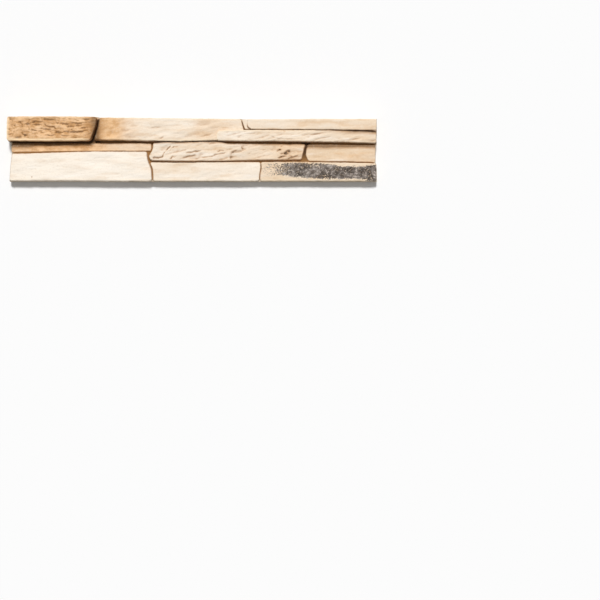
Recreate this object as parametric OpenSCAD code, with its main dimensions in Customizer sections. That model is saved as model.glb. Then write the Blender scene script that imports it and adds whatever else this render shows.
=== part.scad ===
// Cast stone cladding tile. One thin slab whose face looks like ten split ledge
// stones stacked tight against each other. It lies on its flat back with the
// face up, its length along X and the direction that points up the wall along Y.
// The origin is the middle of the flat back.

/* [Tile] */
// Length of the tile, along its ledges
tile_length = 500; // [400:1:600]
// Height of the tile up the wall
tile_height = 88; // [70:1:110]
// Thickness of the bed that joins the stones, from the back to the groove floors
bed_thickness = 13; // [8:0.5:16]
// Width of the bed left standing around the outer stones
bed_rim = 1; // [0.6:0.1:1.6]

/* [Stones] */
// Rise of the ochre block above the bed, the boldest stone
ochre_block_rise = 14; // [8:0.5:18]
// Rise of the long strip beside the ochre block
long_strip_rise = 10; // [6:0.5:14]
// How much lower the long strip ends than it starts
long_strip_fall = 4.5; // [0:0.5:6]
// Rise of the smooth strip in the upper right corner
top_strip_rise = 10.5; // [6:0.5:14]
// Rise of the broken ledge below the smooth strip
broken_ledge_rise = 9.5; // [5:0.5:12]
// Rise of the thin strip shaded by the ochre block
thin_strip_rise = 2; // [1.5:0.5:6]
// Rise of the large cream block in the lower left corner
cream_block_rise = 5; // [3:0.5:10]
// Rise of the flaked strip in the middle course
flaked_strip_rise = 6.5; // [4:0.5:10]
// Rise of the smooth block in the middle of the lower course
middle_block_rise = 4; // [2:0.5:10]
// Rise of the charcoal stained block in the lower right corner
stained_block_rise = 4; // [2:0.5:10]
// Rise of the recessed block under the broken ledge
recessed_block_rise = 2.5; // [1.5:0.5:6]

/* [Breaks] */
// Width of the bevel at the left end of the smooth strip
top_strip_bevel = 6; // [3:0.5:12]
// Depth of that bevel at the end of the strip
top_strip_bevel_depth = 3.2; // [0.5:0.1:4]
// Width of the rough slope at the left end of the broken ledge
broken_ledge_slope = 5; // [3:0.5:12]
// Depth of that slope at the end of the ledge
broken_ledge_slope_depth = 0.5; // [0.1:0.1:3]
// How far the flaked strip steps down where its surface has broken away
flaked_strip_step = 1.2; // [0:0.1:2.5]

/* [Surface] */
// Radius of the worn edges and corners of each stone face
edge_round = 1.6; // [0.8:0.1:2.4]
// How far each stone's foot spreads past its face on every side
wall_draft = 0.8; // [0.2:0.1:1]
// Depth of the gentle hollows in the stone faces
wave_height = 0.8; // [0:0.1:1.5]
// Distance between neighbouring hollows
wave_length = 70; // [40:1:120]

/* [Hidden] */
// Length and height of the tile at which the outlines below are measured, and
// the margin that the outermost of them keep to its edges
drawn_length = 500;
drawn_height = 88;
drawn_margin = 1;
along = (tile_length - 2 * bed_rim) / (drawn_length - 2 * drawn_margin);
across = (tile_height - 2 * bed_rim) / (drawn_height - 2 * drawn_margin);
// Outline of each stone from the tile's lower left corner: its left and right
// edges read upwards, then its lower and upper edges read from left to right
LEFT = 0;
RIGHT = 1;
LOWER = 2;
UPPER = 3;
ochre_block = [
    [1, 1, 1.5],
    [112.5, 116.5, 119.5, 121],
    [55, 54.5, 54.5, 55],
    [87, 87, 87, 86.5]
];
long_strip = [
    [118.5, 121.5, 124, 125.5],
    [321.5, 320.5, 317.5, 315.5],
    [55.5, 55.3, 54.6, 54.5, 56, 57],
    [85.5, 85.5, 85, 84.5, 84]
];
top_strip = [
    [323.5, 322, 320.5, 319, 317.5],
    [499, 499, 499],
    [70.8, 70.5, 70.4, 70.2, 69.8, 69.2],
    [83.5, 83.5, 84, 84, 84]
];
broken_ledge = [
    [284, 283, 285],
    [499, 498.5, 499],
    [55, 54.5, 54.5, 54, 53.5, 53, 52],
    [68.4, 69.2, 69.2, 69, 68.8, 68, 66.8]
];
thin_strip = [
    [6, 5.5, 6],
    [195, 195.5, 195.5],
    [40.5, 41, 41.5, 41.5, 41.5],
    [52, 52, 52]
];
cream_block = [
    [3.5, 4.5, 6.5],
    [196, 196, 195, 192.5, 190, 189],
    [1.5, 1.5, 1.5, 1, 1],
    [38.5, 39, 40, 40, 39.5, 39.5]
];
flaked_strip = [
    [194.5, 192, 195.5, 197.3, 197.3],
    [399, 400.5, 402],
    [28.2, 27.4, 27.4, 27.4, 28, 28.8, 28.8, 28.6],
    [51.8, 52.3, 52.7, 53, 53.2, 53.9, 53.6, 51.3, 51, 51, 51, 50.8, 50.5, 50.5, 50.5]
];
middle_block = [
    [197.6, 197.5, 196.6, 194.8],
    [340.5, 341, 342.4, 342],
    [1, 1, 1],
    [26, 25.4, 25.9, 26.2, 26.2]
];
stained_block = [
    [341.8, 342.4, 343.7, 343.3],
    [499, 499, 498.5],
    [1, 1, 1],
    [26.2, 26.5, 26.4, 26, 25.6, 25.2, 24.4]
];
recessed_block = [
    [408, 406, 405.5, 406],
    [497.5, 497.5, 498],
    [27.7, 27.1, 27.1, 26.7, 25.8],
    [50, 50, 49.5, 49.5]
];
// Spacing of the face points along and across a stone
facet_along = 9;
facet_across = 5;
// Share of the edge radius at which the worn edge gets its middle point
edge_share = 0.3;
// Depth to which every stone reaches into the bed
stone_root = 4;
// Half of the widest groove that the bed bridges between two stones
groove_bridge = 6;
// Spacing of the hollows across the tile, as a share of their spacing along it
wave_squash = 0.45;
// Share of the flaked strip's length at which it steps down, and the share that
// the step takes
step_place = 0.52;
step_share = 0.06;

// Smooth curve through evenly spaced values, read at a share t from 0 to 1
function curve(values, t) =
    let (last = len(values) - 1)
    let (i = min(floor(t * last), last - 1))
    let (f = t * last - i)
    let (before = values[max(i - 1, 0)])
    let (from = values[i])
    let (to = values[i + 1])
    let (after = values[min(i + 2, last)])
    let (slope = (to - before) / 2)
    let (bend = (2 * before - 5 * from + 4 * to - after) / 2)
    let (twist = (3 * from - 3 * to + after - before) / 2)
    from + f * (slope + f * (bend + f * twist));

// Rises from 0 to 1 with level ends as x goes from 0 to 1
function ease(x) =
    let (f = min(max(x, 0), 1))
    f * f * (3 - 2 * f);

// Shares of a length at which a face gets points: closer together at both edges,
// and on a bevel at the first one
function stations(length, facet, bevel = 0) =
    let (first = edge_round + bevel)
    let (inner = length - edge_round - first)
    let (count = max(2, round(inner / facet)))
    [
        0,
        edge_share * edge_round / length,
        if (bevel > 0) edge_round / length,
        if (bevel > 0) (edge_round + bevel / 2) / length,
        for (i = [0:count]) (first + inner * i / count) / length,
        1 - edge_share * edge_round / length,
        1
    ];

function s_shares(outline, bevel = 0) =
    stations((outline[RIGHT][0] - outline[LEFT][0]) * along, facet_along, bevel);

function t_shares(outline) =
    stations((outline[UPPER][0] - outline[LOWER][0]) * across, facet_across);

// Place on the tile at a share s of the way right and t of the way up a stone
function spot(outline, s, t) =
    let (x0 = curve(outline[LEFT], t))
    let (x1 = curve(outline[RIGHT], t))
    let (y0 = curve(outline[LOWER], s))
    let (y1 = curve(outline[UPPER], s))
    [
        (x0 + (x1 - x0) * s - drawn_length / 2) * along,
        (y0 + (y1 - y0) * t - drawn_height / 2) * across
    ];

// Distances from a spot to the nearer side and to the nearer of the other two
function reach(outline, s, t) =
    let (p = spot(outline, s, t))
    [
        max(0, min(p.x - spot(outline, 0, t).x, spot(outline, 1, t).x - p.x)),
        max(0, min(p.y - spot(outline, s, 0).y, spot(outline, s, 1).y - p.y))
    ];

// The same place with the stone's corners rounded: what is left of the radius to
// both edges is shortened from a square's corner to a quarter circle
function place(outline, s, t) =
    let (p = spot(outline, s, t))
    let (r = reach(outline, s, t))
    let (left = [max(0, edge_round - r.x), max(0, edge_round - r.y)])
    let (shorter = min(left.x, left.y) > 0 ? max(left.x, left.y) / norm(left) : 1)
    [
        p.x + (s < 0.5 ? 1 : -1) * left.x * (1 - shorter),
        p.y + (t < 0.5 ? 1 : -1) * left.y * (1 - shorter)
    ];

// Drop of the worn edge at a distance from the outline
function edge_drop(distance) =
    let (run = edge_round - min(distance, edge_round))
    edge_round - sqrt(edge_round * edge_round - run * run);

// Depth of the face's hollows at a place on the tile
function hollow(p, phase) =
    let (swing_x = sin(360 * p.x / wave_length + phase))
    let (swing_y = cos(360 * p.y / (wave_length * wave_squash) + 2 * phase))
    wave_height * (1 + swing_x * swing_y) / 2;

// Depth of the bevel, given as its width and depth, at a distance from the left edge
function bevel_drop(bevel, distance) =
    bevel[0] > 0 ? bevel[1] * (1 - ease(distance / (edge_round + bevel[0]))) : 0;

// Point of a stone's face, which falls by fall from left to right and by step
// where its surface has broken away
function face_point(outline, rise, fall, phase, bevel, step, s, t) =
    let (p = place(outline, s, t))
    let (r = reach(outline, s, t))
    let (slope = bevel_drop(bevel, spot(outline, s, t).x - spot(outline, 0, t).x))
    let (broken = step * ease((s - step_place) / step_share))
    let (worn = max(edge_drop(r.x), edge_drop(r.y)))
    let (top = bed_thickness + rise - fall * (s - 0.5) - hollow(p, phase))
    [p.x, p.y, top - slope - broken - worn];

// How far the foot of a border point spreads, and to which side: no wider than the rim
function spread(share) =
    let (side = share <= 0 ? -1 : share >= 1 ? 1 : 0)
    side * min(wall_draft, bed_rim);

// One stone: a hollowed face with worn edges on slightly spreading walls
module stone(outline, rise, fall, phase, bevel = [0, 0], step = 0) {
    s_list = s_shares(outline, bevel[0]);
    t_list = t_shares(outline);
    columns = len(s_list);
    rows = len(t_list);
    face = [
        for (t = t_list)
            for (s = s_list)
                face_point(outline, rise, fall, phase, bevel, step, s, t)
    ];
    foot = [
        for (j = [0:rows - 1])
            for (i = [0:columns - 1])
                let (p = face[j * columns + i])
                [
                    p.x + spread(s_list[i]),
                    p.y + spread(t_list[j]),
                    bed_thickness - stone_root
                ]
    ];
    base = len(face);
    border = [
        for (i = [0:columns - 1]) i,
        for (j = [1:rows - 1]) j * columns + columns - 1,
        for (i = [columns - 2:-1:0]) (rows - 1) * columns + i,
        for (j = [rows - 2:-1:1]) j * columns
    ];
    ring = len(border);
    upper_face = [
        for (j = [0:rows - 2])
            for (i = [0:columns - 2])
                for (half = [0, 1])
                    let (a = j * columns + i)
                    let (c = a + columns + 1)
                    half == 0 ? [a, c, a + 1] : [a, c - 1, c]
    ];
    underside = [for (f = upper_face) [base + f[0], base + f[2], base + f[1]]];
    walls = [
        for (k = [0:ring - 1])
            for (half = [0, 1])
                let (from = border[k])
                let (to = border[(k + 1) % ring])
                half == 0 ? [from, to, base + to] : [from, base + to, base + from]
    ];
    polyhedron(
        points = concat(face, foot),
        faces = concat(upper_face, underside, walls),
        convexity = 4
    );
}

// Plan of one stone, its outline seen from above
module plan(outline) {
    s_list = s_shares(outline);
    t_list = t_shares(outline);
    polygon([
        for (s = s_list) place(outline, s, 0),
        for (t = t_list) place(outline, 1, t),
        for (s = s_list) place(outline, 1 - s, 1),
        for (t = t_list) place(outline, 0, 1 - t)
    ]);
}

// Flat bed behind all stones, bridging their grooves and standing out as a rim
module bed() {
    linear_extrude(bed_thickness)
        offset(delta = bed_rim - groove_bridge)
            offset(delta = groove_bridge) {
                plan(ochre_block);
                plan(long_strip);
                plan(top_strip);
                plan(broken_ledge);
                plan(thin_strip);
                plan(cream_block);
                plan(flaked_strip);
                plan(middle_block);
                plan(stained_block);
                plan(recessed_block);
            }
}

module cladding_tile() {
    color([0.93, 0.86, 0.76])
        union() {
            bed();
            stone(ochre_block, ochre_block_rise, fall = 0.6, phase = 20);
            stone(long_strip, long_strip_rise, fall = long_strip_fall, phase = 140);
            stone(
                top_strip,
                top_strip_rise,
                fall = -1,
                phase = 250,
                bevel = [top_strip_bevel, top_strip_bevel_depth]
            );
            stone(
                broken_ledge,
                broken_ledge_rise,
                fall = 1,
                phase = 75,
                bevel = [broken_ledge_slope, broken_ledge_slope_depth]
            );
            stone(thin_strip, thin_strip_rise, fall = -0.6, phase = 310);
            stone(cream_block, cream_block_rise, fall = -0.5, phase = 200);
            stone(
                flaked_strip,
                flaked_strip_rise,
                fall = 0.5,
                phase = 100,
                step = flaked_strip_step
            );
            stone(middle_block, middle_block_rise, fall = 0.4, phase = 165);
            stone(stained_block, stained_block_rise, fall = -0.6, phase = 40);
            stone(recessed_block, recessed_block_rise, fall = 0.5, phase = 280);
        }
}

cladding_tile();
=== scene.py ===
"""A cast stone cladding tile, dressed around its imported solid.

The tile is one casting: a flat bed whose face looks like ten split ledge stones.
Each stone here is a grid of points over its own outline, lifted by a height formula
and closed by rough walls that run down into the bed. Lengths are in millimetres until
a mesh is made, and are measured from the tile's lower left corner on its back.
"""
import math
from dataclasses import dataclass

import bpy
import numpy as np
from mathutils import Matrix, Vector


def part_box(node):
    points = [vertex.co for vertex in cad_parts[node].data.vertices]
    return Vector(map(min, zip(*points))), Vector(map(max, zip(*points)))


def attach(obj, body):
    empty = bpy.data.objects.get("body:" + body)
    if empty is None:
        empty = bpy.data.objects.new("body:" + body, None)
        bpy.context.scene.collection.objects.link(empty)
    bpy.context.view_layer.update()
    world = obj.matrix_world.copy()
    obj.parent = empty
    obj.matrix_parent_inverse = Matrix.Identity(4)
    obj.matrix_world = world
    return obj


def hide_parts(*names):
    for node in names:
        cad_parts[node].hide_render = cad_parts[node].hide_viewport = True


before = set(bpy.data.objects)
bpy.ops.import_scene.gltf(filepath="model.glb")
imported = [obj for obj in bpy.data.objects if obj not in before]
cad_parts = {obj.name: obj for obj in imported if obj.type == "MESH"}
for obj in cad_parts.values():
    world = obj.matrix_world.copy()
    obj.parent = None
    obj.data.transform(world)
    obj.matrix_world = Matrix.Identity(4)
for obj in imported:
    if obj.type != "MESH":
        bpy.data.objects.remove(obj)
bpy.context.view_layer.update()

MM = 0.001
NODE = "cladding_tile"

# Sizes of the casting, as its solid has them
DRAWN_LENGTH = 500.0
DRAWN_HEIGHT = 88.0
DRAWN_MARGIN = 1.0
BED_RIM = 1.0
BED_THICKNESS = 13.0
WAVE_HEIGHT = 0.8
WAVE_LENGTH = 70.0
WAVE_SQUASH = 0.45

low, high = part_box(NODE)
TILE_LENGTH = (high[0] - low[0]) / MM
TILE_HEIGHT = (high[1] - low[1]) / MM
ALONG = (TILE_LENGTH - 2 * BED_RIM) / (DRAWN_LENGTH - 2 * DRAWN_MARGIN)
ACROSS = (TILE_HEIGHT - 2 * BED_RIM) / (DRAWN_HEIGHT - 2 * DRAWN_MARGIN)
# No stone rises past the solid's own highest point
CEILING = high[2] / MM - 0.02

# Spacing of the points of a stone's face and of the bed
FACE_STEP = 0.55
BED_STEP = 1.3
# Rings of points down a stone's wall, and how deep its foot reaches into the bed
WALL_RINGS = 9
ROOT = 3.0
# Depth in a groove at which the painted shade on its walls is at its darkest
DEEP_GROOVE = 13.0
# Darkest wash in the hollows of a face, darkest blots of dirt and painted shade, and
# darkest painted shade on it, and how far a stone's wall spreads to its foot
FACE_WASH = 0.62
FACE_DIRT_AND_SHADE = 0.85
FACE_SHADE = 0.8
WALL_DRAFT = 0.8
# How far a wall along the tile's outside is drawn in where it is buried in the bed
OUTER_PULL = 1.6
# How far the painted shade of a seam reaches into a face
SEAM_WIDTH = 2.6
# How far a stone's outline wavers to either side
EDGE_WAVER = 0.30
# How many points round it a hollow is judged against, and the depth of a full one
FINE_HOLLOW = (4, 0.4)
BROAD_HOLLOW = (14, 0.8)


@dataclass
class Stone:
    """One stone of the face: its outline, its place in depth and its finish.

    The outline holds the left and right edges read upwards and the lower and upper
    edges read from left to right. The rise is above the bed, and the fall is the lean
    from left to right. The bevel is how long and how deep a sloped left end is, worn is
    the radius of the edges and corner that of the outline's corners. The tone is how
    pale the stone is, the fade how much that changes from left to right, and the stain
    how much brown lies in its hollows. Rims are how pale the left, right, lower and upper
    borders are painted, as worn edges with a painted highlight, and seams how much painted
    shade darkens them along a neighbour. The shade is how dark and how wide the painted
    shadow under the upper border is.
    """

    name: str
    left: tuple
    right: tuple
    lower: tuple
    upper: tuple
    rise: float
    fall: float
    phase: float
    bevel: tuple = (0.0, 0.0)
    worn: float = 1.2
    corner: float = 2.5
    tone: float = 0.4
    fade: float = 0.0
    stain: float = 0.2
    rims: tuple = (0.3, 0.2, 0.25, 0.3)
    seams: tuple = (0.35, 0.35, 0.3, 0.3)
    shade: tuple = (0.0, 1.0)
    seed: int = 1


STONES = [
    Stone("ochre_block", (1, 1, 1.5), (113.2, 117.6, 120.7, 122.2), (55, 54.5, 54.5, 55),
          (87, 87, 87, 86.5), rise=14, fall=0.6, phase=20, worn=0.7, tone=0.0, stain=0.78,
          rims=(1.2, 0.0, 1.7, 0.5), seams=(0.0, 0.5, 0.0, 0.2), seed=11),
    Stone("long_strip", (118.5, 121.5, 124, 125.5), (321.5, 320.5, 318.3, 316.2),
          (56, 55.6, 54.7, 54.4, 55.4, 57), (85.5, 85.5, 85, 84.5, 84),
          rise=10, fall=4.5, phase=140, tone=0.5, fade=-0.2, stain=0.4, rims=(0.0, 0.1, 0.6, 0.4),
          seams=(0.6, 0.4, 0.2, 0.2), seed=12),
    Stone("top_strip", (321.6, 320.3, 319.2, 318.2, 317.2), (499, 499, 499),
          (70.4, 70.1, 70, 69.8, 69.4, 68.8), (83.5, 83.5, 84, 84, 84),
          rise=10.5, fall=-1, phase=250, bevel=(6.0, 3.2), corner=1.2,
          tone=0.35, fade=-0.3, stain=0.15, seed=13),
    Stone("broken_ledge", (284, 283, 285), (499, 498.5, 499), (55, 54.5, 54.5, 54, 53.5, 53, 52),
          (68.4, 69.2, 69.2, 69, 68.8, 68, 66.8), rise=9.5, fall=1, phase=75, bevel=(5.0, 0.5),
          tone=0.42, fade=-0.5, stain=0.5, rims=(0.7, 0.2, 0.4, 0.7),
          seams=(0.0, 0.2, 0.1, 0.2), shade=(0.9, 6.0), seed=14),
    Stone("thin_strip", (6, 5.5, 6), (194.2, 194.7, 194.7), (39.9, 40.5, 41.2, 41.4, 41.5), (52, 52, 52),
          rise=2, fall=-0.6, phase=310, worn=1.0, corner=1.5, tone=0.15, stain=0.3,
          seams=(0.2, 0.5, 0.55, 0.2), shade=(1.35, 11.6), seed=15),
    Stone("cream_block", (3.5, 4.5, 6.5), (195, 195.1, 194.4, 191.4, 189.2, 188.9), (1.5, 1.5, 1.5, 1, 1),
          (37.4, 38.1, 39.5, 40.3, 40.3, 40.1),
          rise=5, fall=-0.5, phase=200, worn=1.0, tone=1.0, stain=0.12,
          rims=(0.1, 0.1, 0.3, 0.1), seed=16),
    Stone("flaked_strip", (194.5, 192, 195.5, 197.3, 197.3), (398.2, 400.3, 403),
          (28.2, 27.4, 27.4, 27.4, 28, 28.8, 28.9, 29.3),
          (52, 52.8, 53, 53.2, 53.3, 53.9, 53.6, 51.3, 51, 51, 51, 50.8, 50.5, 50.5, 50.5),
          rise=6.5, fall=0.5, phase=100, worn=1.6, tone=0.35, fade=-0.6, stain=0.6,
          rims=(0.4, 0.0, 0.0, 0.0), seams=(0.3, 0.5, 0.65, 0.4), shade=(0.75, 3.2), seed=17),
    Stone("middle_block", (197.6, 197.4, 196.4, 193.4), (340.5, 341, 342.4, 342), (1, 1, 1),
          (26, 25.4, 25.9, 26.2, 26.2),
          rise=4, fall=0.4, phase=165, worn=1.0, tone=0.68, stain=0.12, seed=19),
    Stone("stained_block", (341.8, 342.4, 343.7, 343.3), (499, 499, 498.5), (1, 1, 1),
          (26.2, 26.5, 26.4, 26, 25.6, 25.2, 24.4),
          rise=4, fall=-0.6, phase=40, tone=0.1, stain=0.3, rims=(0.2, 0.0, 0.5, 0.3), seed=20),
    Stone("recessed_block", (407.3, 404.6, 404, 404.9, 406.4), (497.5, 497.5, 498),
          (27.7, 27.1, 27.1, 26.7, 25.8), (50, 50, 49.5, 49.5),
          rise=2.5, fall=0.5, phase=280, worn=1.1, corner=1.8, tone=-0.05, stain=0.25,
          rims=(0.2, 0.0, 0.1, 0.0), seams=(0.4, 0.1, 0.6, 0.0), shade=(1.25, 8.5), seed=21),
]

# Brown blots of a stone, mostly dirty hollows and some painted shade: the middle, half the width and
# height, and the strength
BLOTS = {
    "ochre_block": [(26, 62, 3, 3, 0.5), (88, 66, 14, 1.6, 0.35), (60, 73.5, 12, 1.4, 0.3),
                    (108, 78, 14, 1.2, 0.3)],
    "long_strip": [(213, 62, 6, 4, 0.12), (207, 57.5, 3, 1.2, 0.5), (131, 81, 8, 1.8, 0.25),
                   (141, 77, 5, 2.5, 0.22)],
    "flaked_strip": [(381, 41, 2.8, 1.9, 1.1), (377, 38, 2.4, 1.7, 1.2), (367.5, 43, 3.8, 1.3, 1.2),
                     (371.5, 33.4, 3, 1.2, 1.0), (386, 34, 9, 1.1, 0.7), (377, 38, 9, 5, 0.16),
                     (302.8, 35, 2.2, 5, 0.42), (305.5, 39.8, 2.8, 1.3, 0.95), (312, 41.8, 4.6, 1.2, 1.4),
                     (317.3, 45.6, 1.2, 3, 0.6), (378, 50, 16, 1.6, 0.3), (288, 33, 14, 1.2, 0.2)],
    # The long band at the broken ledge's upper right is painted shade under the smooth strip
    "broken_ledge": [(314, 62, 8, 1, 0.3), (352, 60.5, 5, 1.2, 0.25), (478, 65.6, 20, 1.1, 0.4)],
    "cream_block": [(33.5, 6, 0.9, 0.8, 0.9)],
}

# Shade of the two stones that meet at the deepest upright gap: its place along the
# tile, how far the shade reaches from it, and how dark each stone is there
END_GAP = 119.5
END_REACH = 12.0
END_SHADE = {"ochre_block": 0.78, "long_strip": 0.9}

# The smooth strip's face starts here, with a corner of this radius and a step this deep
STRIP_FACE_START = 324.8
STRIP_CORNER = 6.0
STRIP_STEP = 1.4

# The paler spot in the soot: its middle, half its width and height, and its strength
PALE_SPOT = (417, 21.5, 8, 3, 0.35)

# The bed's brown begins this far from its outer edge, and is full where it ends
BED_BROWN = (1.6, 3.0)
# Where the bed lies in deep shade: under the ochre block, left of these places and
# above these heights, and in the gap beside the recessed block, given by its middle,
# how far the shade reaches from it, and the heights that it rises over
OCHRE_GAP_ENDS = (122, 130)
OCHRE_GAP_FEET = (50, 54)
RECESS_GAP = 404
RECESS_GAP_REACH = (5, 7)
RECESS_GAP_FEET = (26, 42)

# Where the flaked strip steps down: the stone to the right of this path is lower
BREAK_PATH = ((301, 24), (301.5, 38), (306, 40.5), (312.5, 41), (316, 42), (317, 46), (318, 54))
BREAK_DROP = 1.2
BREAK_RUN = 1.9

# Cracks and flake edges of the split faces: path, depth, width and how far the stone
# beside the crack is stepped
CRACKS = {
    "ochre_block": [
        (((34.5, 79.5), (40, 80.5), (45.5, 79.5), (52, 79.5)), 0.9, 0.7, 0.5),
        (((51, 78), (55, 74), (59, 73), (64.5, 72.5), (68.5, 69.5)), 0.9, 0.7, 0.6),
        (((66.5, 80), (69.5, 78.5), (78, 77.5), (84.5, 77)), 0.8, 0.6, 0.5),
        (((86, 78), (94, 78.5), (105, 78), (113, 78.5), (119.5, 79.5)), 0.7, 0.6, 0.5),
        (((87.5, 74), (88, 69), (92.5, 66.5), (99.5, 66.5), (105, 67.5), (115.5, 70)), 0.8, 0.7, 0.5),
        (((98, 70), (105, 72), (113, 72)), 0.7, 0.6, 0.4),
        (((71.5, 62.7), (76, 61.4), (81.5, 60.6), (87, 61), (92, 62.8)), 1.4, 0.8, 0.5),
        (((86, 66.4), (92, 66), (98, 65.6), (105, 66.2)), 1.1, 0.7, 0.4),
        (((21, 65.5), (24, 62.5), (29, 61)), 1.2, 1.0, 0.3),
        (((29, 73), (34.5, 70), (40, 67.5), (47, 67)), 0.7, 0.6, 0.4),
        (((24, 84.5), (32, 82), (37.5, 84), (48, 84)), 0.6, 0.6, 0.4),
        (((53.5, 84), (64.5, 85), (75, 83.5), (88.5, 84.5)), 0.6, 0.6, 0.4),
        (((91.5, 82.5), (102, 84), (114.5, 83)), 0.6, 0.6, 0.4),
        (((103.5, 61.5), (110, 62.5), (115.5, 64.5)), 0.7, 0.6, 0.4),
        (((45.5, 60.5), (53.5, 61.5), (61.5, 61), (68.5, 62.5)), 0.6, 0.6, 0.4),
        (((7.5, 75), (11.5, 69.5), (10.5, 62.5)), 0.5, 1.0, 0.2),
        (((18.5, 81), (22, 75), (20.5, 66.5)), 0.5, 1.0, 0.2),
        (((38.5, 75), (44, 76), (49.5, 75)), 0.6, 0.6, 0.3),
    ],
    "long_strip": [
        (((191, 70.5), (196.5, 72), (202, 73), (209, 73)), 0.35, 0.7, 0.2),
        (((207.5, 56.5), (209.5, 58.5), (212, 60)), 1.0, 0.8, 0.4),
        (((260, 59), (265.5, 61), (271, 62.5), (279, 66)), 0.4, 0.9, 0.3),
        (((226.5, 79.5), (240, 80), (256, 79)), 0.25, 0.9, 0.2),
    ],
    "broken_ledge": [
        (((310, 59.5), (314, 61), (317.5, 63), (323.5, 64), (330.5, 64), (337, 66)), 0.5, 0.7, 0.4),
        (((353, 62.5), (358.5, 60), (364, 58), (383, 57), (404.5, 57)), 0.4, 0.6, 0.4),
        (((373, 68.5), (375, 66.5), (376.5, 68)), 0.9, 0.8, 0.1),
    ],
    "flaked_strip": [
        (((222.5, 49), (219, 45), (215.5, 42), (211.5, 37), (209.5, 33.5)), 0.7, 0.6, 0.7),
        (((227, 47.5), (222.5, 44), (218, 39)), 0.5, 0.5, 0.5),
        (((195.5, 31), (199.5, 32.5), (204.5, 32), (210, 33), (213.5, 35)), 1.0, 0.8, 0.6),
        (((219.5, 30), (223.5, 33), (230.5, 33.5)), 0.9, 0.8, 0.5),
        (((241, 38.5), (248, 39.5), (256, 41), (264, 41.5)), 0.8, 0.7, 0.7),
        (((238.5, 32.5), (248, 34.5), (256, 36)), 0.6, 0.6, 0.6),
        (((260, 32.5), (269.5, 33), (276.5, 34), (283, 36.5), (290, 38), (298, 38.5)), 0.9, 0.8, 0.8),
        (((283, 40.5), (288.5, 41.5), (294, 42)), 0.9, 0.8, 0.4),
        (((364, 41), (367.5, 42), (371.5, 43.5)), 1.3, 0.9, 0.5),
        (((368.5, 36.5), (373.5, 38), (377.5, 40.5), (383.5, 42)), 1.6, 1.1, 0.8),
        (((366, 31.5), (371, 33), (376, 34.5)), 1.2, 0.9, 0.6),
        (((379, 30), (384.5, 32), (388.5, 33.5), (394.5, 35.5)), 0.9, 0.7, 0.7),
        (((339.5, 41.5), (350.5, 43.5), (360, 44)), 0.3, 0.9, 0.3),
    ],
    "cream_block": [
        (((32, 6.5), (34, 5.5)), 0.7, 0.9, 0),
        (((61.5, 18), (72.5, 20), (86, 19)), 0.15, 1.0, 0.1),
    ],
    "recessed_block": [(((464, 26), (466.5, 27.5), (469.5, 26)), 0.8, 0.8, 0)],
}


# Numbers worked out over whole arrays


def smooth(start, end, value):
    """0 before start and 1 after end, with a cubic ease between them."""
    share = np.clip((value - start) / (end - start), 0.0, 1.0)
    return share * share * (3.0 - 2.0 * share)


def curve(values, share):
    """Catmull-Rom curve through evenly spaced values, read at shares from 0 to 1."""
    values = np.asarray(values, dtype=float)
    last = len(values) - 1
    place = np.asarray(share) * last
    index = np.clip(np.floor(place).astype(int), 0, last - 1)
    f = place - index
    before = values[np.maximum(index - 1, 0)]
    start = values[index]
    end = values[index + 1]
    after = values[np.minimum(index + 2, last)]
    slope = (end - before) / 2
    bend = (2 * before - 5 * start + 4 * end - after) / 2
    twist = (3 * start - 3 * end + after - before) / 2
    return start + f * (slope + f * (bend + f * twist))


def gradient_noise(x, y, seed):
    """Each lattice corner has a random slope; the four slopes are blended by a quintic ease."""
    column = np.floor(x).astype(np.int64)
    row = np.floor(y).astype(np.int64)
    fx = x - column
    fy = y - row
    ease_x = fx * fx * fx * (fx * (fx * 6 - 15) + 10)
    ease_y = fy * fy * fy * (fy * (fy * 6 - 15) + 10)

    def corner(i, j):
        mixed = (column + i) * 374761393 + (row + j) * 668265263 + seed * 974634777
        mixed = (mixed ^ (mixed >> 13)) * 1274126177
        turn = ((mixed ^ (mixed >> 16)) & 0xFFFF) / 0xFFFF * 2 * math.pi
        return np.cos(turn) * (fx - i) + np.sin(turn) * (fy - j)

    near = corner(0, 0) * (1 - ease_x) + corner(1, 0) * ease_x
    far = corner(0, 1) * (1 - ease_x) + corner(1, 1) * ease_x
    return (near * (1 - ease_y) + far * ease_y) * 1.5


def fractal(x, y, cell_x, cell_y, octaves, seed):
    """Gradient noise summed over octaves, each half the size and 0.55 times the height."""
    total = 0.0
    weight = 1.0
    scale = 1.0
    for octave in range(octaves):
        level = gradient_noise(x * scale / cell_x, y * scale / cell_y, seed + 31 * octave)
        total = total + weight * level
        weight *= 0.55
        scale *= 2.0
    return total


def terrace(value, sharp):
    """Turns a smooth height into flat steps joined by ramps that take 1 / sharp of a step."""
    base = np.floor(value)
    return base + np.clip((value - base - 0.5) * sharp + 0.5, 0.0, 1.0)


def blur(field, reach):
    """Mean over a square window, taken from running sums along both directions."""
    for axis in (0, 1):
        size = field.shape[axis]
        none = np.zeros_like(field.take([0], axis))
        padded = np.concatenate([none, np.cumsum(field, axis)], axis)
        top = np.minimum(np.arange(size) + reach + 1, size)
        bottom = np.maximum(np.arange(size) - reach, 0)
        count = (top - bottom).reshape((-1, 1) if axis == 0 else (1, -1))
        field = (padded.take(top, axis) - padded.take(bottom, axis)) / count
    return field


def path_distance(x, y, path):
    """Distance to the nearest stretch of a path, the side of it, and the share of the path."""
    nearest = np.full(x.shape, np.inf)
    side = np.zeros(x.shape)
    share = np.zeros(x.shape)
    stretches = len(path) - 1
    for index in range(stretches):
        (ax, ay), (bx, by) = path[index], path[index + 1]
        dx, dy = bx - ax, by - ay
        along = np.clip(((x - ax) * dx + (y - ay) * dy) / (dx * dx + dy * dy), 0.0, 1.0)
        distance = np.hypot(x - ax - along * dx, y - ay - along * dy)
        closer = distance < nearest
        nearest = np.where(closer, distance, nearest)
        side = np.where(closer, np.sign(dx * (y - ay) - dy * (x - ax)), side)
        share = np.where(closer, (index + along) / stretches, share)
    return nearest, side, share


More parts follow.
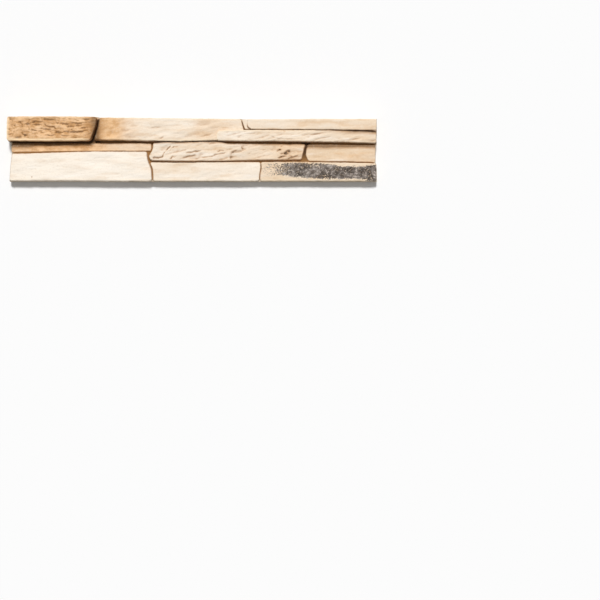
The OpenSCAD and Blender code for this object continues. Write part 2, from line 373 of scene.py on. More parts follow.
def crack(x, y, path, depth, width, step, seed):
    """A soft V-shaped cut along a path, with the stone on its upper side lifted and fading away.

    The cut is 0.6 of the depth, eased out over 2.2 widths. The lift is the step times the
    exponential of minus the distance over six widths. Both fade out at the path's ends.
    """
    bend_x = x + 0.9 * fractal(x, y, 7, 5, 2, seed)
    bend_y = y + 0.8 * fractal(x, y, 6, 4, 2, seed + 1)
    distance, side, share = path_distance(bend_x, bend_y, path)
    ends = smooth(0.0, 0.18, np.minimum(share, 1 - share) + 0.03)
    cut = smooth(1.0, 0.0, distance / (2.2 * width))
    lift = np.where(side > 0, np.exp(-distance / (6 * width)), 0.0)
    return ends * (step * lift * smooth(0, 1.2, distance) - 0.6 * depth * cut)


# The form of each stone's face


def hollow(x, y, phase):
    """Half the wave height times 1 plus a sine along the tile times a cosine across it."""
    turn = 2 * math.pi / WAVE_LENGTH
    swing_x = np.sin(turn * x + math.radians(phase))
    swing_y = np.cos(turn * y / WAVE_SQUASH + math.radians(2 * phase))
    return WAVE_HEIGHT * (1 + swing_x * swing_y) / 2


def split_relief(stone, x, y):
    """Height of the broken surface over the smooth face, mostly downwards, in millimetres.

    Every stone has a fine and a broad noise and its own cracks. The split ones add
    plates, which are a stretched noise turned into terraces, and finer noise along them.
    """
    seed = stone.seed * 7
    relief = 0.05 * fractal(x, y, 6, 3, 3, seed) + 0.34 * fractal(x, y, 42, 11, 3, seed + 1)
    slant = y - 0.22 * x + 2.2 * fractal(x, y, 45, 20, 2, seed + 8)
    if stone.name == "ochre_block":
        plates = fractal(x + 5 * fractal(x, y, 22, 12, 2, seed + 5), y, 30, 8, 3, seed + 2)
        relief = relief + 0.75 * (terrace(plates * 2.4, 2.0) / 2.4) - 0.5
        relief = relief + 0.4 * fractal(x + 2 * fractal(x, y, 9, 6, 2, seed + 6), y, 9, 3, 4, seed + 3)
        relief = relief - 0.4 * veins(x, y, seed + 9)
    elif stone.name == "flaked_strip":
        plates = fractal(x + 4 * fractal(x, y, 18, 9, 2, seed + 5), slant, 44, 8, 2, seed + 2)
        relief = relief + 0.7 * (terrace(plates * 1.5, 1.6) / 1.5) - 0.4
        relief = relief + 0.18 * fractal(x, slant, 14, 5, 3, seed + 3)
        distance, side, _ = path_distance(x + 0.6 * fractal(x, y, 6, 4, 2, seed + 6), y, BREAK_PATH)
        relief = relief - BREAK_DROP * smooth(-BREAK_RUN, BREAK_RUN, -side * distance)
    elif stone.name == "stained_block":
        relief = relief + 0.2 * fractal(x, y, 6, 3.5, 4, seed + 2) - 0.1
    elif stone.name == "broken_ledge":
        plates = fractal(x, slant, 40, 7, 2, seed + 2)
        relief = relief + 0.6 * terrace(plates * 1.5, 1.6) / 1.5 - 0.25
        relief = relief + 0.26 * fractal(x, slant, 18, 4.5, 3, seed + 3)
    elif stone.name == "long_strip":
        relief = relief + 0.5 * fractal(x, slant, 50, 10, 2, seed + 2) - 0.15
        relief = relief + 0.24 * fractal(x, slant, 20, 5, 3, seed + 3)
    elif stone.name in ("recessed_block", "middle_block", "cream_block"):
        relief = relief + 0.19 * fractal(x, y - 0.15 * x, 12, 4, 3, seed + 2)
    for index, (path, depth, width, step) in enumerate(CRACKS.get(stone.name, [])):
        relief = relief + crack(x, y, path, depth, width, step, seed + 40 + 2 * index)
    return relief


def veins(x, y, seed):
    """Thin wavy lines where a stretched noise crosses 0, fading in and out along the tile.

    The strength is the exponential of minus the noise's square over a narrow band's.
    """
    level = fractal(x + 6 * fractal(x, y, 18, 9, 2, seed), y, 26, 5, 3, seed + 1)
    present = smooth(-0.15, 0.2, fractal(x, y, 15, 8, 2, seed + 2))
    return present * np.exp(-((level / 0.08) ** 2))


def dirt_and_shade(stone, x, y, from_below, below_top):
    """Two masks: the stone's brown blots and smudges, some of them painted shade, and the painted shade at
    its borders.

    A blot is its strength times the exponential of minus the squared distance from its
    middle, counted in its half width and half height. The shade falls off evenly below
    the upper border, and as a bell curve beside the deepest upright gap.
    """
    seed = stone.seed * 23
    cloud = 0.9 + 0.7 * fractal(x, y, 7, 5, 3, seed)
    strength, reach = stone.shade
    # The shade weakens where the overhang above it ends
    if stone.name == "thin_strip":
        strength = strength - 0.15 * smooth(25, 45, x) - 0.55 * smooth(112, 122, x)
        reach = reach - 3.2 * smooth(22, 45, x) - 5.2 * smooth(112, 122, x)
    elif stone.name == "broken_ledge":
        strength = strength * (0.12 + 0.88 * smooth(400, 465, x))
    elif stone.name == "recessed_block":
        reach = reach - 1.2 * smooth(440, 470, x)
    beside_gap = END_SHADE.get(stone.name, 0.0) * np.exp(-(((x - END_GAP) / END_REACH) ** 2))
    uneven = below_top - fractal(x, y, 26, 12, 2, seed + 1)
    shade = strength * (1 - np.clip(uneven / reach, 0, 1))
    amount = np.zeros_like(x)
    for middle_x, middle_y, half_width, half_height, strength in BLOTS.get(stone.name, []):
        away = ((x - middle_x) / half_width) ** 2 + ((y - middle_y) / half_height) ** 2
        amount = amount + strength * np.exp(-away)
    if stone.name == "ochre_block":
        upright = smooth(-0.1, 0.6, fractal(x, y, 3, 5.5, 3, seed + 2))
        inside = smooth(2, 7, x) * smooth(57, 61, y) * (1 - smooth(80, 85, y))
        amount = amount + 0.55 * upright * inside * (1 - smooth(28, 44, x))
    elif stone.name == "top_strip":
        # A painted shadow line along the step at the smooth strip's rounded corner
        distance, near = strip_corner(x, from_below)
        line = near * np.exp(-((distance / 1.1) ** 2))
        amount = amount + 0.85 * line * (1 - smooth(4, 9, from_below))
    return np.clip(amount * cloud, 0, FACE_DIRT_AND_SHADE), np.clip(np.maximum(shade, beside_gap), 0, FACE_SHADE)


def stations(length, step):
    """Shares of a length with points step apart, and three closer ones at both ends."""
    tight = np.array([0.0, 0.15, 0.35])
    band = 0.6
    inner = np.linspace(band, length - band, max(3, int(round((length - 2 * band) / step))))
    return np.concatenate([tight, inner, length - tight[::-1]]) / length


def rounded_corners(x, y, reach_x, reach_y, to_x, to_y, radius):
    """Bends the square grid at each corner into a quarter disc.

    A point's shares of the radius left to both edges are scaled by the larger of the
    two over their root of squares, which maps the corner's square onto a disc.
    """
    a = np.clip((radius - reach_x) / radius, 0, 1)
    b = np.clip((radius - reach_y) / radius, 0, 1)
    hypotenuse = np.maximum(np.hypot(a, b), 1e-9)
    scale = np.where((a > 0) & (b > 0), np.maximum(a, b) / hypotenuse, 1.0)
    return x + to_x * radius * a * (1 - scale), y + to_y * radius * b * (1 - scale)


def edge_drop(distance, radius):
    """Drop of a quarter round of the given radius at a distance inside the outline."""
    run = radius - np.clip(distance, 0, radius)
    return radius - np.sqrt(np.maximum(radius * radius - run * run, 0))


def hollowness(relief, reach, depth):
    """How far a point lies below the mean around it: 0 when level, 1 at the given depth."""
    return np.clip((blur(relief, reach) - relief) / depth, 0, 1)


def stone_face(stone):
    """Points of a stone's face as grids, and the masks that its finish reads.

    x runs from the left edge curve to the right one and y from the lower to the upper
    one. The height is the bed plus the stone's rise, a lean from left to right, the
    hollows and the split relief, less the worn edge.
    """
    length = (stone.right[0] - stone.left[0]) * ALONG
    height = (stone.upper[0] - stone.lower[0]) * ACROSS
    s, t = np.meshgrid(stations(length, FACE_STEP), stations(height, FACE_STEP))
    x0, x1 = curve(stone.left, t), curve(stone.right, t)
    y0, y1 = curve(stone.lower, s), curve(stone.upper, s)
    mid_x = x0 + (x1 - x0) * s
    mid_y = y0 + (y1 - y0) * t
    seed = stone.seed * 13
    level = np.zeros_like(mid_x)
    x0 = x0 + EDGE_WAVER * fractal(mid_y, level, 7, 1, 3, seed)
    x1 = x1 + EDGE_WAVER * fractal(mid_y, level, 7, 1, 3, seed + 1)
    y0 = y0 + EDGE_WAVER * fractal(mid_x, level, 16, 1, 4, seed + 2)
    y1 = y1 + EDGE_WAVER * fractal(mid_x, level, 16, 1, 4, seed + 3)
    x = x0 + (x1 - x0) * s
    y = y0 + (y1 - y0) * t
    reach_x = np.minimum(x - x0, x1 - x)
    reach_y = np.minimum(y - y0, y1 - y)
    x, y = rounded_corners(x, y, reach_x, reach_y, np.where(s < 0.5, 1, -1),
                           np.where(t < 0.5, 1, -1), stone.corner)
    radius = stone.worn * (1 + 0.45 * fractal(x, y, 14, 10, 3, seed + 4))
    radius = np.clip(radius, 0.5, 3.2)
    inset = radius - np.hypot(np.maximum(radius - reach_x, 0), np.maximum(radius - reach_y, 0))
    relief = split_relief(stone, x, y)
    place_x = (x - DRAWN_LENGTH / 2) * ALONG
    place_y = (y - DRAWN_HEIGHT / 2) * ACROSS
    top = BED_THICKNESS + stone.rise - stone.fall * (s - 0.5) - hollow(place_x, place_y, stone.phase)
    if stone.bevel[0] > 0:
        top = top - end_slope(stone, x, x - x0, y - y0)
    z = np.minimum(top + relief, CEILING) - edge_drop(inset, radius)
    fine = hollowness(relief, *FINE_HOLLOW)
    broad = hollowness(relief, *BROAD_HOLLOW)
    wash_and_shade = np.minimum(stone.stain * blur(fine + 0.45 * broad, 1), FACE_WASH)
    distances = (x - x0, x1 - x, y - y0, y1 - y)
    blots, shade = dirt_and_shade(stone, x, y, y - y0, y1 - y)
    seam = seam_shade(stone, distances) * smooth(2, 6, tile_edge_distance(place_x, place_y))
    masks = {
        # Brown wash in the hollows and blots, with painted shade under the upper border, beside the deepest
        # gap and along joints
        "wash_and_shade": np.maximum(np.maximum(wash_and_shade, blots) + 0.25 * wash_and_shade, shade + seam * (1 - shade)),
        "edge": rim_light(stone, distances) * (1 - np.clip(1.5 * np.maximum(shade, blots), 0, 1)),
        "tone": stone.tone + stone.fade * (s - 0.5),
    }
    return place_x, place_y, z, masks, x, y


def end_slope(stone, x, from_left, from_below):
    """How far a bevelled stone's left end lies below its face, in millimetres.

    The broken ledge slopes evenly. The smooth strip's face ends in a rounded corner:
    past it lies a small step and then an even slope down to the groove.
    """
    width, depth = stone.bevel
    if stone.name != "top_strip":
        return depth * (1 - smooth(0, stone.worn + width, from_left))
    distance, near = strip_corner(x, from_below)
    step = STRIP_STEP * near * (1 - smooth(-0.4, 1.2, distance))
    return step + (depth - STRIP_STEP) * np.clip((STRIP_FACE_START - x) / width, 0, 1)


def strip_corner(x, from_below):
    """Distance inside the smooth strip's face from its rounded left end, and 1 near that end."""
    short_x = np.clip(STRIP_CORNER - (x - STRIP_FACE_START), 0, None)
    short_y = np.clip(STRIP_CORNER - from_below, 0, STRIP_CORNER)
    return STRIP_CORNER - np.hypot(short_x, short_y), smooth(0, 2, short_x)


def rim_light(stone, distances):
    """How pale the border is, as a worn edge with a painted highlight: the strongest of the four rims, each
    fading inwards.
    """
    rims = [weight * (1 - smooth(0.4, 4.2, distance)) for weight, distance in zip(stone.rims, distances)]
    return np.maximum.reduce(rims)


def seam_shade(stone, distances):
    """How much painted shade darkens the border along a neighbour: the strongest of the four seams, each
    fading inwards in a square.
    """
    seams = [weight * (1 - np.clip(distance / SEAM_WIDTH, 0, 1)) ** 2 * 1.3
             for weight, distance in zip(stone.seams, distances)]
    return np.maximum.reduce(seams)


def pigment(stone, x, y):
    """Where ochre and soot lie on a stone, from the tile's left end in millimetres.

    Ochre is a sum of eased steps along the tile. Soot grows towards the right, between
    a lower and an upper border that are sums of eased steps too.
    """
    ochre = np.zeros_like(x)
    soot = np.zeros_like(x)
    if stone.name == "ochre_block":
        ochre += 1.0
    elif stone.name == "long_strip":
        ochre += 0.95 - 0.5 * smooth(140, 166, x) - 0.45 * smooth(160, 200, x)
        ochre += 0.36 * smooth(238, 262, x) * (1 - smooth(295, 330, x))
    elif stone.name == "thin_strip":
        ochre += 0.72 + 0.18 * smooth(20, 60, x) - 0.6 * smooth(110, 150, x)
    elif stone.name == "flaked_strip":
        ochre += 0.04 + 0.1 * smooth(300, 310, x) + 0.22 * smooth(360, 372, x)
    elif stone.name == "recessed_block":
        ochre += 0.2
    elif stone.name == "top_strip":
        ochre += 0.2 * smooth(440, 495, x)
    elif stone.name == "stained_block":
        upper = 26 - 5 * smooth(415, 460, x) + 2.5 * smooth(480, 495, x)
        lower = 8 - 2 * smooth(375, 395, x) - 2 * smooth(400, 430, x) - 3.5 * smooth(476, 492, x)
        inside = smooth(lower - 4, lower + 2.5, y) * (1 - smooth(upper - 3, upper + 2, y))
        middle_x, middle_y, half_width, half_height, strength = PALE_SPOT
        pale = np.exp(-(((x - middle_x) / half_width) ** 2) - ((y - middle_y) / half_height) ** 2)
        soot += smooth(322, 400, x) * inside * (1 - strength * pale)
    return {"ochre": ochre, "soot": soot}


# Meshes


def border_loop(rows, columns):
    """Indices of a grid's border, counterclockwise from its first corner."""
    grid = np.arange(rows * columns).reshape(rows, columns)
    return np.concatenate([grid[0, :], grid[1:, -1], grid[-1, -2::-1], grid[-2:0:-1, 0]])


def grid_quads(rows, columns):
    """Four corners of each cell of a grid, counterclockwise seen from above."""
    grid = np.arange(rows * columns).reshape(rows, columns)
    return np.stack([grid[:-1, :-1], grid[:-1, 1:], grid[1:, 1:], grid[1:, :-1]], -1).reshape(-1, 4)


def ring_quads(first, second):
    """Cells between two closed rings, the second lying below the first."""
    return np.stack([first, second, np.roll(second, -1), np.roll(first, -1)], -1)


def make_piece(name, points, quads, triangles, masks, material):
    """Makes a mesh object from arrays, with one float attribute for each mask."""
    loops = np.concatenate([quads.ravel(), triangles.ravel()])
    starts = np.concatenate([np.arange(len(quads)) * 4, len(quads) * 4 + np.arange(len(triangles)) * 3])
    mesh = bpy.data.meshes.new(name)
    mesh.vertices.add(len(points))
    mesh.vertices.foreach_set("co", (points * MM).astype(np.float32).ravel())
    mesh.loops.add(len(loops))
    mesh.loops.foreach_set("vertex_index", loops.astype(np.int32))
    mesh.polygons.add(len(starts))
    mesh.polygons.foreach_set("loop_start", starts.astype(np.int32))
    mesh.update(calc_edges=True)
    mesh.validate()
    mesh.polygons.foreach_set("use_smooth", np.ones(len(mesh.polygons), dtype=bool))
    for mask, values in masks.items():
        mesh.attributes.new(mask, "FLOAT", "POINT").data.foreach_set("value", values.astype(np.float32))
    mesh.materials.append(material)
    piece = bpy.data.objects.new(name, mesh)
    bpy.context.scene.collection.objects.link(piece)
    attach(piece, "root")
    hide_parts(NODE)
    return piece


def inside_tile(points):
    """Keeps points within the tile's box, seen from above."""
    edge = np.array(high[:2]) / MM - 0.02
    return np.clip(points, -edge, edge)


def tile_edge_distance(x, y):
    """Distance from places to the nearest side of the tile's box, seen from above."""
    return np.minimum(high[0] / MM - np.abs(x), high[1] / MM - np.abs(y))


def ring_normals(ring):
    """Outward directions of a closed counterclockwise ring seen from above."""
    tangent = np.roll(ring[:, :2], -3, axis=0) - np.roll(ring[:, :2], 3, axis=0)
    tangent /= np.maximum(np.linalg.norm(tangent, axis=1, keepdims=True), 1e-9)
    return np.stack([tangent[:, 1], -tangent[:, 0]], -1)


def stone_piece(stone, material):
    """Closes a stone's face with rough walls down to its foot inside the bed.

    Wall ring k lies at share k / rings of the way down, pushed outward by the draft
    times that share and by noise that is strongest half way down. Along the tile's
    outside the wall is drawn in where the bed hides it.
    """
    x, y, z, masks, drawn_x, drawn_y = stone_face(stone)
    masks.update(pigment(stone, drawn_x, drawn_y))
    rows, columns = x.shape
    face = np.stack([x, y, z], -1).reshape(-1, 3)
    face[:, :2] = inside_tile(face[:, :2])
    loop = border_loop(rows, columns)
    rim = face[loop]
    outward = ring_normals(rim)
    foot = BED_THICKNESS - ROOT
    sheltered = 0.15 + 0.85 * smooth(2, 6, tile_edge_distance(rim[:, 0], rim[:, 1]))
    layers = [face]
    rings = [loop]
    mask_layers = {name: [values.ravel()] for name, values in masks.items()}
    for k in range(1, WALL_RINGS + 1):
        share = k / WALL_RINGS
        depth = rim[:, 2] + (foot - rim[:, 2]) * share
        rough = 0.35 * fractal(rim[:, 0] + rim[:, 1], depth, 6, 2.2, 3, stone.seed * 17)
        push = WALL_DRAFT * share + rough * math.sin(math.pi * share)
        buried = smooth(BED_THICKNESS + 0.2, BED_THICKNESS - 0.7, depth)
        push = push - OUTER_PULL * (1 - sheltered) * buried
        ring = np.column_stack([inside_tile(rim[:, :2] + outward * push[:, None]), depth])
        rings.append(np.arange(len(loop)) + sum(len(layer) for layer in layers))
        layers.append(ring)
        for name, values in masks.items():
            carried = values.ravel()[loop]
            if name == "wash_and_shade":
                # Down a groove's walls the brown grows with depth: painted shade over a little brown wash
                groove = 0.1 + (rim[:, 2] - depth) / DEEP_GROOVE
                carried = np.clip((carried * (1 - share) ** 4 + groove) * sheltered, 0, 1)
            elif name == "edge":
                carried = carried * (1 - share) ** 4
            mask_layers[name].append(carried)
    centre = rings[-1][-1] + 1
    layers.append(np.array([[x.mean(), y.mean(), foot]]))
    for name in masks:
        mask_layers[name].append(np.ones(1))
    walls = np.concatenate([ring_quads(a, b) for a, b in zip(rings, rings[1:])])
    cap = np.stack([np.roll(rings[-1], -1), rings[-1], np.full(len(loop), centre)], -1)
    values = {name: np.concatenate(parts) for name, parts in mask_layers.items()}
    quads = np.concatenate([grid_quads(rows, columns), walls])
    return make_piece(stone.name, np.concatenate(layers), quads, cap, values, material)


def outer_edges():
    """The bed's four outer edges, read off the outlines of the stones along them."""
    named = {stone.name: stone for stone in STONES}
    share = np.linspace(0, 1, 41)

    def along_x(name, side):
        stone = named[name]
        start = curve(stone.left, 0.0 if side == "lower" else 1.0)
        end = curve(stone.right, 0.0 if side == "lower" else 1.0)
        return start + (end - start) * share, curve(getattr(stone, side), share)

    def along_y(name, side):
        stone = named[name]
        start = curve(stone.lower, 0.0 if side == "left" else 1.0)
        end = curve(stone.upper, 0.0 if side == "left" else 1.0)
        return start + (end - start) * share, curve(getattr(stone, side), share)

    top = [along_x(name, "upper") for name in ("ochre_block", "long_strip", "top_strip")]
    bottom = [along_x(name, "lower") for name in ("cream_block", "middle_block", "stained_block")]
    left = [along_y(name, "left") for name in ("cream_block", "thin_strip", "ochre_block")]
    right = [along_y(name, "right")
             for name in ("stained_block", "recessed_block", "broken_ledge", "top_strip")]
    return [tuple(np.concatenate(part) for part in zip(*edge)) for edge in (left, right, bottom, top)]


def bed_piece(material):
    """The bed: a rough groove floor, upright walls with rounded edges and a flat back.

    Its grid runs between the outer edges of the border stones, one rim wider on every
    side. The back repeats the floor's grid on the lowest plane. The mask side is 1 on
    plain concrete and 0 on the brown groove floor, and deep is 1 where that floor is
    painted darker as deep shade.
    """
    left, right, bottom, top = outer_edges()
    s, t = np.meshgrid(stations(TILE_LENGTH, BED_STEP), stations(TILE_HEIGHT, BED_STEP))
    guess_x = DRAWN_LENGTH * s
    guess_y = DRAWN_HEIGHT * t
    rim_x = BED_RIM / ALONG
    rim_y = BED_RIM / ACROSS
    x0 = np.interp(guess_y, left[0], left[1]) - rim_x
    x1 = np.interp(guess_y, right[0], right[1]) + rim_x
    y0 = np.interp(guess_x, bottom[0], bottom[1]) - rim_y
    y1 = np.interp(guess_x, top[0], top[1]) + rim_y
    x = ((x0 + (x1 - x0) * s) - DRAWN_LENGTH / 2) * ALONG
    y = ((y0 + (y1 - y0) * t) - DRAWN_HEIGHT / 2) * ACROSS
    rows, columns = x.shape
    floor = BED_THICKNESS - 0.35 + 0.3 * fractal(x, y, 5, 4, 3, 5)
    face = np.stack([x, y, floor], -1).reshape(-1, 3)
    loop = border_loop(rows, columns)
    rim = face[loop]
    outward = ring_normals(rim)
    # How far each ring of the side is drawn in, and its share of the bed's height
    inward_of = [0.25, 0.0, 0.0, 0.0, 0.0, 0.12, 0.45]
    height_of = [0.985, 0.93, 0.75, 0.5, 0.25, 0.05, 0.0]
    border_inset = 0.5
    back_width, back_height = 0.998, 0.988
    face[loop, :2] -= outward * border_inset
    layers = [face]
    rings = [loop]
    for inward, share in zip(inward_of, height_of):
        depth = rim[:, 2] * share
        rough = 0.12 * (1 + fractal(rim[:, 0] + rim[:, 1], depth, 5, 3, 3, 9)) * (0 < share < 1)
        ring = np.column_stack([rim[:, :2] - outward * (inward + rough)[:, None], depth])
        rings.append(np.arange(len(loop)) + sum(len(layer) for layer in layers))
        layers.append(ring)
    back = np.stack([x * back_width, y * back_height, np.zeros_like(x)], -1).reshape(-1, 3)
    first_back = sum(len(layer) for layer in layers)
    layers.append(back)
    rings.append(loop + first_back)
    walls = np.concatenate([ring_quads(a, b) for a, b in zip(rings, rings[1:])])
    cells = grid_quads(rows, columns)
    quads = np.concatenate([cells, walls, cells[:, ::-1] + first_back])
    points = np.concatenate(layers)
    points[:, :2] = inside_tile(points[:, :2])
    from_side = np.minimum((x1 - x0) * np.minimum(s, 1 - s), (y1 - y0) * np.minimum(t, 1 - t))
    side = np.ones(len(points))
    side[: rows * columns] = 1 - smooth(*BED_BROWN, from_side.ravel())
    place_x = points[:, 0] + DRAWN_LENGTH / 2
    place_y = points[:, 1] + DRAWN_HEIGHT / 2
    under_ochre = (1 - smooth(*OCHRE_GAP_ENDS, place_x)) * smooth(*OCHRE_GAP_FEET, place_y)
    beside_recess = 1 - smooth(*RECESS_GAP_REACH, np.abs(place_x - RECESS_GAP))
    deep = np.maximum(under_ochre, beside_recess * smooth(*RECESS_GAP_FEET, place_y))
    no_triangles = np.zeros((0, 3), dtype=int)
    return make_piece("bed", points, quads, no_triangles, {"side": side, "deep": deep}, material)


# Materials


class Value:
    """One socket of a node tree, on which +, - and * add Math nodes."""

    def __init__(self, tree, socket):
        self.tree = tree
        self.socket = socket

    def maths(self, operation, *terms, clamp=False):
        values = {index: term for index, term in enumerate(terms)}
        return add_node(self.tree, "ShaderNodeMath", {"operation": operation, "use_clamp": clamp}, values)

    def __add__(self, other):
        return self.maths("ADD", self, other)

    __radd__ = __add__

    def __sub__(self, other):
        return self.maths("SUBTRACT", self, other)

    def __rsub__(self, other):
        return self.maths("SUBTRACT", other, self)

    def __mul__(self, other):
        return self.maths("MULTIPLY", self, other)

    __rmul__ = __mul__

    def held(self):
        return self.maths("ADD", self, 0.0, clamp=True)


def add_node(tree, kind, settings=None, values=None, output=0):
    """Adds a node, applies its settings, then fills or links its input sockets."""
    node = tree.nodes.new(kind)
    for name, setting in (settings or {}).items():
        setattr(node, name, setting)
    for name, value in (values or {}).items():
        socket = node.inputs[name]
        if isinstance(value, Value):
            tree.links.new(value.socket, socket)
        else:
            socket.default_value = value
    return Value(tree, node.outputs[output])


def linear(red, green, blue):
    """A colour given in display values of 0 to 255, as the shader's linear colour."""
    def channel(value):
        value = value / 255
        return value / 12.92 if value <= 0.04045 else ((value + 0.055) / 1.055) ** 2.4
    return (channel(red), channel(green), channel(blue), 1.0)


class Finish:
    """A material under construction, with short names for the nodes it repeats."""

    def __init__(self, name):
        self.material = bpy.data.materials.new(name)
        self.material.use_nodes = True
        self.tree = self.material.node_tree
        self.tree.nodes.clear()
        coordinates = add_node(self.tree, "ShaderNodeTexCoord", output="Object")
        self.place = self.node("ShaderNodeVectorMath", {"operation": "SCALE"},
                               {0: coordinates, "Scale": 1 / MM})

    def node(self, kind, settings=None, values=None, output=0):
        return add_node(self.tree, kind, settings, values, output)

    def mask(self, name):
        return self.node("ShaderNodeAttribute", {"attribute_name": name}, output="Fac")

    def noise(self, cell, detail=3.0, stretch=(1.0, 1.0, 1.0), shift=0.0, roughness=0.5):
        """Noise of about 0 to 1 whose features are one cell across, in millimetres."""
        scale = tuple(1.0 / (cell * part) for part in stretch)
        where = self.node("ShaderNodeVectorMath", {"operation": "MULTIPLY_ADD"},
                          {0: self.place, 1: scale, 2: (shift, shift * 0.7, shift * 1.3)})
        return self.node("ShaderNodeTexNoise", {"noise_dimensions": "3D"},
                         {"Vector": where, "Scale": 1.0, "Detail": detail, "Roughness": roughness})

    def ease(self, value, start, end):
        """0 below start and 1 above end, with a smooth change between them."""
        return self.node("ShaderNodeMapRange", {"interpolation_type": "SMOOTHSTEP"},
                         {"Value": value, "From Min": start, "From Max": end, "To Min": 0.0, "To Max": 1.0})

    def mix(self, share, first, second):
        """Mixes two colours, given as links or as linear colours."""
        node = self.tree.nodes.new("ShaderNodeMix")
        node.data_type = "RGBA"
        node.clamp_factor = True
        for name, value in (("Factor_Float", share), ("A_Color", first), ("B_Color", second)):
            socket = next(item for item in node.inputs if item.identifier == name)
            if isinstance(value, Value):
                self.tree.links.new(value.socket, socket)
            else:
                socket.default_value = value
        return Value(self.tree, next(item for item in node.outputs if item.identifier == "Result_Color"))

    def finish(self, colour, roughness, height, distance, strength, specular):
        """Joins colour, roughness and a bump height to a shader and an output."""
        bump = self.node("ShaderNodeBump", None,
                         {"Strength": strength, "Distance": distance * MM, "Height": height})
        surface = self.node("ShaderNodeBsdfPrincipled", None,
                            {"Base Color": colour, "Roughness": roughness, "Normal": bump,
                             "Specular IOR Level": specular})
        output = self.tree.nodes.new("ShaderNodeOutputMaterial")
        self.tree.links.new(surface.socket, output.inputs["Surface"])
        return self.material


def stone_finish():
    """Pigmented cast stone: cream ground, ochre and soot stains, brown wash in the hollows, painted shade
    under overhangs, along joints and in grooves, and pale worn edges with a painted highlight.
    """
    f = Finish("pigmented_cast_stone")
    cloud = f.noise(26, 4, (2.2, 1, 1), 3.1, 0.55)
    streak = f.noise(9, 4, (4.5, 1, 1), 7.7, 0.55)
    blotch = f.noise(7, 4, (1.4, 1, 1), 1.9, 0.6)
    mottle = f.noise(2.2, 4, (1.2, 1, 1), 5.3, 0.65)
    flock = f.noise(6.5, 5, (1.3, 1, 1), 8.3, 0.6)
    speck = f.noise(1.7, 3, (1.2, 1, 1), 4.1, 0.6)
    grain = f.noise(0.9, 3, (1, 1, 1), 2.2, 0.6)
    tone = f.mask("tone")
    ochre = f.mask("ochre")
    soot = f.mask("soot")
    wash_and_shade = f.mask("wash_and_shade")
    edge = f.mask("edge")

    ground = f.mix((tone + (cloud - 0.5) * 0.9).held(), linear(238, 212, 181), linear(254, 243, 228))
    ground = f.mix(f.ease(streak, 0.5, 0.7) * (0.65 - 0.42 * tone).held(), ground, linear(224, 186, 144))
    ground = f.mix(f.ease(streak, 0.48, 0.28) * 0.45, ground, linear(255, 248, 238))

    deep = f.mix(f.ease(blotch, 0.36, 0.66), linear(242, 198, 150), linear(204, 154, 102))
    deep = f.mix(f.ease(streak, 0.5, 0.66) * 0.6, deep, linear(250, 212, 170))
    deep = f.mix((tone * 0.6).held(), deep, linear(244, 200, 150))
    stained = f.ease(ochre, 0.0, 0.2)
    ochre_share = f.ease(ochre + ((cloud - 0.5) * 0.5 + (blotch - 0.5) * 0.35) * stained, 0.08, 0.95)
    colour = f.mix(ochre_share, ground, deep)

    charcoal = f.mix(f.ease(flock, 0.38, 0.64), linear(52, 44, 42), linear(132, 122, 115))
    fleck = mottle + (flock - 0.5) * 0.55
    charcoal = f.mix(f.ease(fleck, 0.54, 0.68) * 0.75, charcoal, linear(212, 203, 196))
    charcoal = f.mix(f.ease(fleck, 0.48, 0.33) * 0.85, charcoal, linear(40, 34, 34))
    sooty = f.ease(soot, 0.0, 0.2)
    spread = soot + ((flock - 0.5) * 1.3 + (speck - 0.5) * 2.1) * sooty
    soot_share = f.ease(spread, 0.36, 0.8) * 0.96
    colour = f.mix(soot_share, colour, charcoal)

    # Brown of the wash in the hollows and of the painted shade, nearly black where the shade is deepest
    brown = f.mix(f.ease(wash_and_shade, 0.5, 1.0), linear(174, 122, 68), linear(68, 46, 24))
    colour = f.mix(f.ease(wash_and_shade, 0.04, 0.7) * (0.6 + 0.36 * f.ease(wash_and_shade, 0.5, 1.0)), colour, brown)
    # Pale borders: worn edges with a painted highlight on them
    worn_and_lit_edge = f.mix(ochre_share, linear(255, 236, 206), linear(255, 224, 182))
    colour = f.mix(edge * 0.8 * (1 - soot_share), colour, worn_and_lit_edge)
    colour = f.mix(f.ease(mottle, 0.52, 0.7) * 0.14, colour, linear(186, 150, 112))
    colour = f.mix(f.ease(mottle, 0.48, 0.3) * 0.16, colour, linear(255, 248, 236))
    colour = f.mix(f.ease(grain, 0.60, 0.75) * 0.2, colour, linear(170, 138, 106))
    colour = f.mix(f.ease(grain, 0.40, 0.25) * 0.18, colour, linear(255, 250, 240))

    roughness = 0.78 + 0.16 * mottle
    height = grain * 0.5 + mottle * 0.8
    return f.finish(colour, roughness, height, 0.32, 0.7, 0.25)


def bed_finish():
    """Plain cast concrete of the body: sandy sides and back, and brown grooves, painted darker in deep
    shade.
    """
    f = Finish("plain_cast_concrete")
    cloud = f.noise(30, 3, (2, 1, 1), 4.4)
    mottle = f.noise(4, 5, (1, 1, 1), 6.1, 0.6)
    grain = f.noise(0.8, 3, (1, 1, 1), 8.8, 0.6)
    pit = f.ease(f.noise(1.6, 1, (1, 1, 1), 9.4, 0.4), 0.66, 0.72)
    body = f.mix(f.ease(cloud, 0.35, 0.65), linear(196, 180, 158), linear(214, 199, 178))
    body = f.mix(f.ease(mottle, 0.5, 0.7) * 0.4, body, linear(174, 156, 134))
    # The groove floor is painted darker where it lies in deep shade
    groove = f.mix(f.mask("deep"), linear(154, 114, 70), linear(78, 56, 35))
    colour = f.mix(f.mask("side"), groove, body)
    colour = f.mix(pit * 0.5, colour, linear(110, 94, 76))
    colour = f.mix(f.ease(grain, 0.58, 0.75) * 0.3, colour, linear(140, 122, 102))
    return f.finish(colour, 0.86 + 0.1 * mottle, grain * 0.5 + mottle * 0.6 - pit * 0.8, 0.3, 0.7, 0.2)


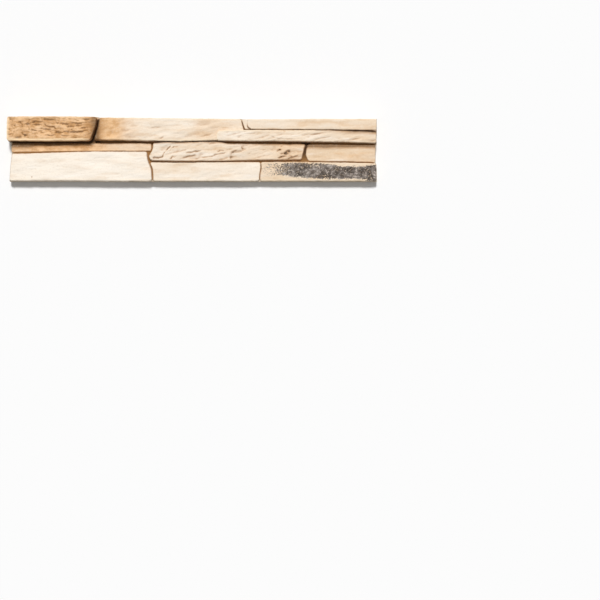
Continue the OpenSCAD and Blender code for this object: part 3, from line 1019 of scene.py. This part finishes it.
def floor_finish():
    """Even, almost white paint."""
    f = Finish("white_floor")
    surface = f.node("ShaderNodeBsdfDiffuse", None, {"Color": linear(252, 252, 252)})
    output = f.tree.nodes.new("ShaderNodeOutputMaterial")
    f.tree.links.new(surface.socket, output.inputs["Surface"])
    return f.material


# Floor, light and camera


def make_floor():
    """A plane far wider than any view of the tile."""
    reach = 8.0
    mesh = bpy.data.meshes.new("floor")
    corners = [(-reach, -reach, 0), (reach, -reach, 0), (reach, reach, 0), (-reach, reach, 0)]
    mesh.from_pydata(corners, [], [(0, 1, 2, 3)])
    mesh.materials.append(floor_finish())
    floor = bpy.data.objects.new("floor", mesh)
    bpy.context.scene.collection.objects.link(floor)


def make_light():
    """A broad soft lamp beyond the tile's upper edge, and an even fill from all round."""
    fill = 0.28
    lean = math.radians(28)
    lamp = bpy.data.lights.new("soft_key", "SUN")
    lamp.energy = (1 - fill) * math.pi / math.cos(lean)
    lamp.angle = math.radians(10)
    key = bpy.data.objects.new("soft_key", lamp)
    key.rotation_euler = (-lean, 0.0, 0.0)
    key.location = (0, 1, 2)
    bpy.context.scene.collection.objects.link(key)
    world = bpy.data.worlds.new("even_fill")
    world.use_nodes = True
    background = world.node_tree.nodes["Background"]
    background.inputs["Color"].default_value = (1.0, 1.0, 1.0, 1.0)
    background.inputs["Strength"].default_value = fill
    bpy.context.scene.world = world


def make_camera():
    """Straight down on the tile, from where the photo's middle lies beside it."""
    pixel = 1.35 * MM
    frame_pixels = 600
    tile_middle = (191.9, 148.7)
    face_height = 20 * MM
    lens, sensor = 100.0, 36.0
    camera_data = bpy.data.cameras.new("camera")
    camera_data.lens = lens
    camera_data.sensor_width = sensor
    camera_data.clip_end = 100
    camera = bpy.data.objects.new("camera", camera_data)
    middle = frame_pixels / 2
    distance = frame_pixels * pixel * lens / sensor
    camera.location = ((middle - tile_middle[0]) * pixel, (tile_middle[1] - middle) * pixel,
                       distance + face_height)
    bpy.context.scene.collection.objects.link(camera)
    bpy.context.scene.camera = camera


make_camera()
make_light()
make_floor()
face_material = stone_finish()
for each in STONES:
    stone_piece(each, face_material)
bed_piece(bed_finish())

bpy.context.scene.view_settings.view_transform = "Standard"
